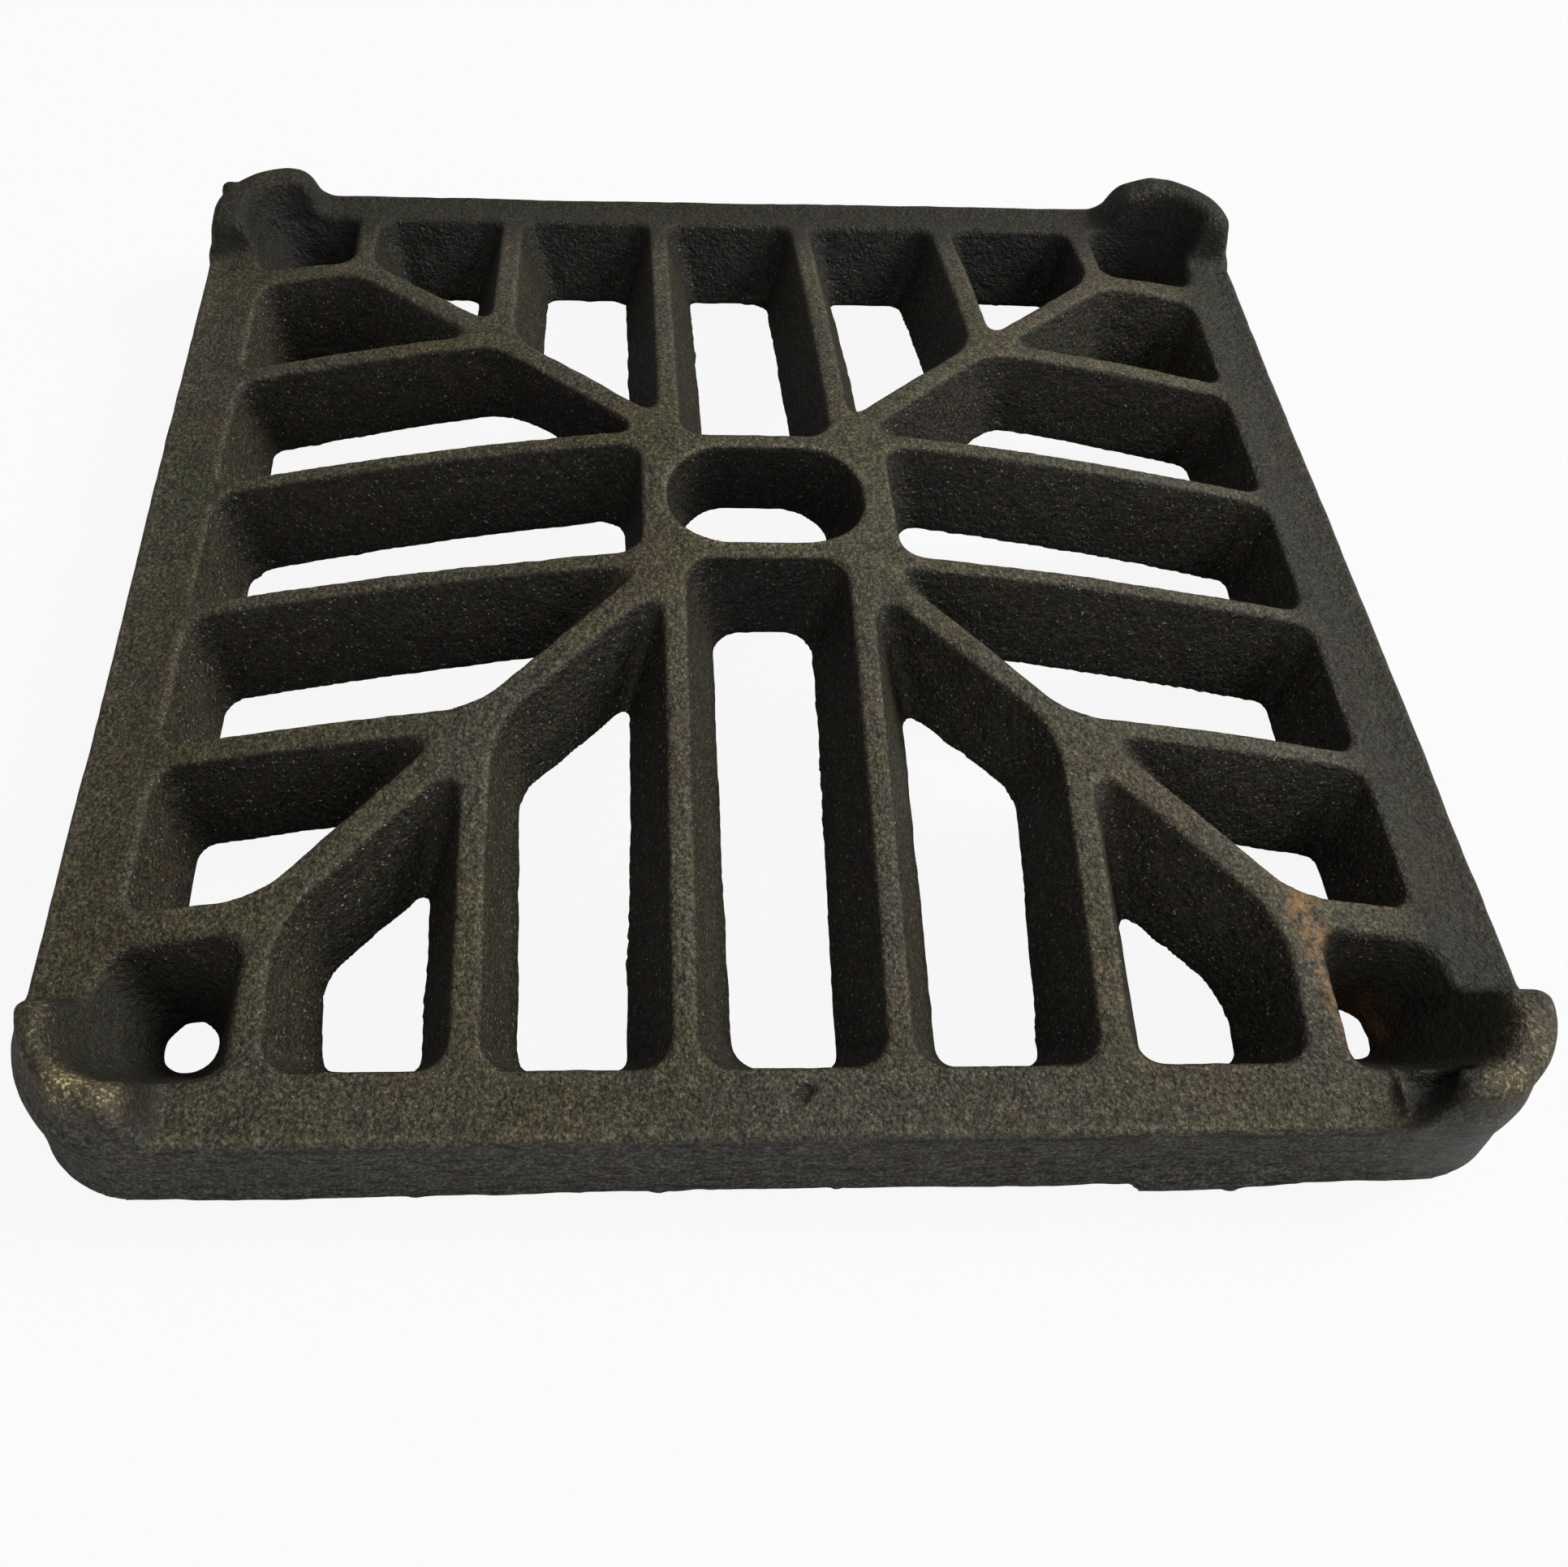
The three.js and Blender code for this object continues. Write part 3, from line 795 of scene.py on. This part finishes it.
# painted shade in the leg's hollow, darker along the outer-wall crease
base = coat(base, SHADE_BLACK, attr("hollow_shade_and_crease"), amount=0.85)
base = coat(base, FRESH_RUST, attr("rusty"), amount=0.85)
# painted light on the outer wall at the front right corner
base = coat(base, LIT_CORNER_GREY, attr("pale"), amount=0.62)

# painted glints as bright specks, fewer in the painted shade of the pockets and hollows and on
# the outer wall, stronger on walls; then the darker zones and the painted rim shade
speck = patch("speck")
quiet = invert(mul(calc("MAXIMUM", attr("pocket_shade"), attr("hollow_shade_and_crease")), 0.8))
calm = invert(mul(outside, 0.75))
base = coat(base, PAINTED_GLINT, speck, quiet, calm, amount=calc("ADD", 0.34, mul(wall, 0.36)))
base = mix(attr("tone_and_rim_shade"), base, even(0.40), "MULTIPLY")

gloss = ramp(noise(*NOISES["gloss"]), (0.3, even(0.42)), (0.7, even(0.74)))
gloss = mix(speck, gloss, even(0.30))

# relief: grains, pits, soft lumps
height = calc("ADD", mul(noise(*NOISES["grain"]), 0.42), mul(patch("pits"), 0.14))
height = calc("ADD", height, mul(noise(*NOISES["fine grain"]), 0.14))
height = calc("ADD", height, mul(noise(*NOISES["lumps"]), 0.42))
bump = add_node(iron, "ShaderNodeBump",
                {"Strength": 0.9, "Distance": 0.0017, "Height": height})
surface = add_node(iron, "ShaderNodeBsdfPrincipled", {
    "Metallic": 0.15, "Specular IOR Level": 0.38, "IOR": 1.45,
    "Base Color": base, "Roughness": gloss, "Normal": bump.outputs["Normal"]})
add_node(iron, "ShaderNodeOutputMaterial", {"Surface": surface.outputs["BSDF"]})
mesh.materials.append(material)

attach(skin, "root")
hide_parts("grate_casting")


# ------------------------------------------------------------------ floor
def camera_switch(tree, others, camera):
    """one shader for camera rays, another for all other rays"""
    seen = add_node(tree, "ShaderNodeLightPath").outputs["Is Camera Ray"]
    return add_node(tree, "ShaderNodeMixShader",
                    {0: seen, 1: others.outputs[0], 2: camera.outputs[0]}).outputs[0]


def floor_material():
    """nearly white to the camera, mid grey to the light it bounces"""
    pale = bpy.data.materials.new("pale_floor")
    tree = fresh_tree(pale)
    bounce = add_node(tree, "ShaderNodeBsdfDiffuse", {"Color": even(0.42)})
    glow = add_node(tree, "ShaderNodeEmission", {"Color": even(1.0), "Strength": 0.97})
    shaded = add_node(tree, "ShaderNodeBsdfDiffuse", {"Color": even(0.9)})
    seen = add_node(tree, "ShaderNodeMixShader",
                    {0: 0.06, 1: glow.outputs[0], 2: shaded.outputs[0]})
    add_node(tree, "ShaderNodeOutputMaterial",
             {"Surface": camera_switch(tree, bounce, seen)})
    return pale


FLOOR_HALF, FLOOR_Z = 4.0, -0.0004       # metres
floor_mesh = bpy.data.meshes.new("floor")
floor_mesh.from_pydata([(sx * FLOOR_HALF, sy * FLOOR_HALF, FLOOR_Z)
                        for sx, sy in ((-1, -1), (1, -1), (1, 1), (-1, 1))],
                       [], [(0, 1, 2, 3)])
floor = bpy.data.objects.new("floor", floor_mesh)
bpy.context.scene.collection.objects.link(floor)
floor_mesh.materials.append(floor_material())

# ------------------------------------------------------------------ world and lights
scene = bpy.context.scene
scene.view_settings.view_transform = "Standard"


def studio_world():
    """white to the camera; as a light, brighter overhead than at the horizon"""
    world = bpy.data.worlds.new("studio")
    scene.world = world
    tree = fresh_tree(world)
    sky = add_node(tree, "ShaderNodeTexCoord").outputs["Generated"]
    up = add_node(tree, "ShaderNodeSeparateXYZ", {0: sky}).outputs[2]
    strength = add_node(tree, "ShaderNodeMapRange", {
        "Value": up, "From Min": 0.1, "From Max": 0.95, "To Min": 0.16, "To Max": 0.50})
    light = add_node(tree, "ShaderNodeBackground",
                     {"Color": even(1), "Strength": strength.outputs[0]})
    backdrop = add_node(tree, "ShaderNodeBackground", {"Color": even(1), "Strength": 1.0})
    add_node(tree, "ShaderNodeOutputWorld",
             {"Surface": camera_switch(tree, light, backdrop)})


def area_light(name, location, target, size, power):
    data = bpy.data.lights.new(name, "AREA")
    data.shape = "SQUARE"
    data.size = size
    data.energy = power
    lamp = bpy.data.objects.new(name, data)
    scene.collection.objects.link(lamp)
    lamp.location = location
    aim = Vector(target) - Vector(location)
    lamp.rotation_euler = aim.to_track_quat("-Z", "Y").to_euler()


studio_world()
area_light("key", location=(2.4, 0.72, 1.95), target=(0, 0, 0), size=1.4, power=98.0)
area_light("front", location=(-0.05, -1.3, 0.34), target=(0, -0.05, 0.01),
           size=0.8, power=3.9)

# ------------------------------------------------------------------ camera
CAMERA_AT = np.array([-0.02871500625, -0.2045670975, 0.23404204125]) * UNIT   # metres
HEADING = math.radians(5.15297)          # from +Y towards +X
TILT = math.radians(50.67602)            # below the horizon
ROLL = math.radians(-4.22228)


def camera_matrix():
    forward = np.array([math.sin(HEADING) * math.cos(TILT),
                        math.cos(HEADING) * math.cos(TILT), -math.sin(TILT)])
    level_right = np.cross(forward, [0, 0, 1])
    level_right /= np.linalg.norm(level_right)
    level_down = np.cross(forward, level_right)
    right = math.cos(ROLL) * level_right + math.sin(ROLL) * level_down
    down = -math.sin(ROLL) * level_right + math.cos(ROLL) * level_down
    rows = [tuple(row) for row in zip(right, -down, -forward, CAMERA_AT)]
    return Matrix((*rows, (0, 0, 0, 1)))


camera_data = bpy.data.cameras.new("camera")
camera_data.sensor_fit = "HORIZONTAL"
camera_data.sensor_width = 36.0
camera_data.lens = 36.97000621118
camera_data.shift_x = 0.060284679089
camera_data.shift_y = -0.068586956522
camera_data.clip_start = 0.01
camera = bpy.data.objects.new("camera", camera_data)
scene.collection.objects.link(camera)
camera.matrix_world = camera_matrix()
scene.camera = camera
